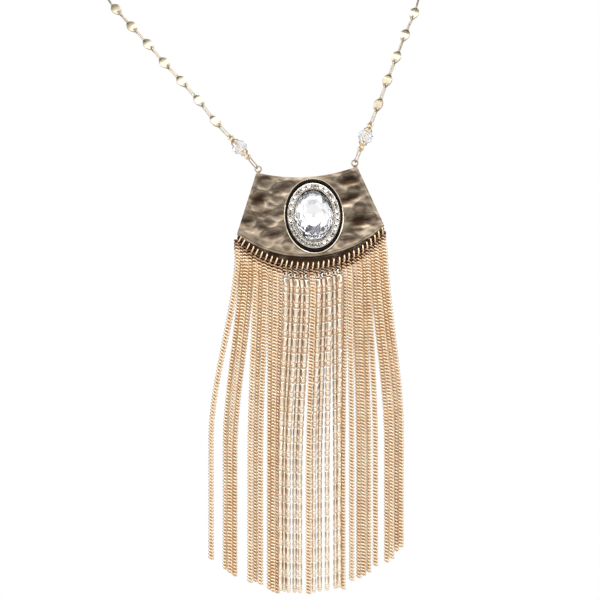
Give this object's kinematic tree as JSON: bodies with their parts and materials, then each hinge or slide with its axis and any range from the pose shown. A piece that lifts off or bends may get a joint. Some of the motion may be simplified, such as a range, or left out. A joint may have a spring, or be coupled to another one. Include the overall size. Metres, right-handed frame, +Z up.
{
  "type": "tassel necklace",
  "caption": "Necklace with a hammered trapezoid plate, an oval crystal in a halo on black enamel, a long fringe of fine chains and a neck chain of domed plates.",
  "frame": {"origin": "the middle of the nape, where the neck chain rests on the neck", "axes": "+Z up, -Y towards the viewer, +X to the viewer's right"},
  "size_m": [0.1292, 0.1239, 0.2671],
  "materials": {
    "antique_brass": "hammered, dark patina in the dents, worn edges",
    "polished_gold": "polished gold plating",
    "black_enamel": "glossy black enamel",
    "crystal": "clear cut crystal",
    "rhinestone": "clear foiled rhinestone",
    "rose_gold_rings": "polished rose gold plating",
    "rose_gold_chain": "polished rose gold plating",
    "champagne_chain": "polished champagne gold plating",
    "pale_gold_chain": "polished pale gold plating"
  },
  "bodies": {
    "root": {"plate": "antique_brass", "setting": "polished_gold", "enamel": "black_enamel", "main_stone": "crystal", "halo_stones": "rhinestone", "fringe_rings": "rose_gold_rings", "fringe_left": "rose_gold_chain", "fringe_middle": "champagne_chain", "fringe_right": "rose_gold_chain", "connector_left": "polished_gold", "connector_right": "polished_gold", "connector_bead_left": "crystal", "connector_bead_right": "crystal", "corner_link_left": "pale_gold_chain", "corner_link_right": "pale_gold_chain", "chain_left": "pale_gold_chain", "chain_right": "pale_gold_chain", "clasp": "polished_gold", "clasp_ring": "polished_gold", "clasp_link": "pale_gold_chain"}
  },
  "joints": []
}
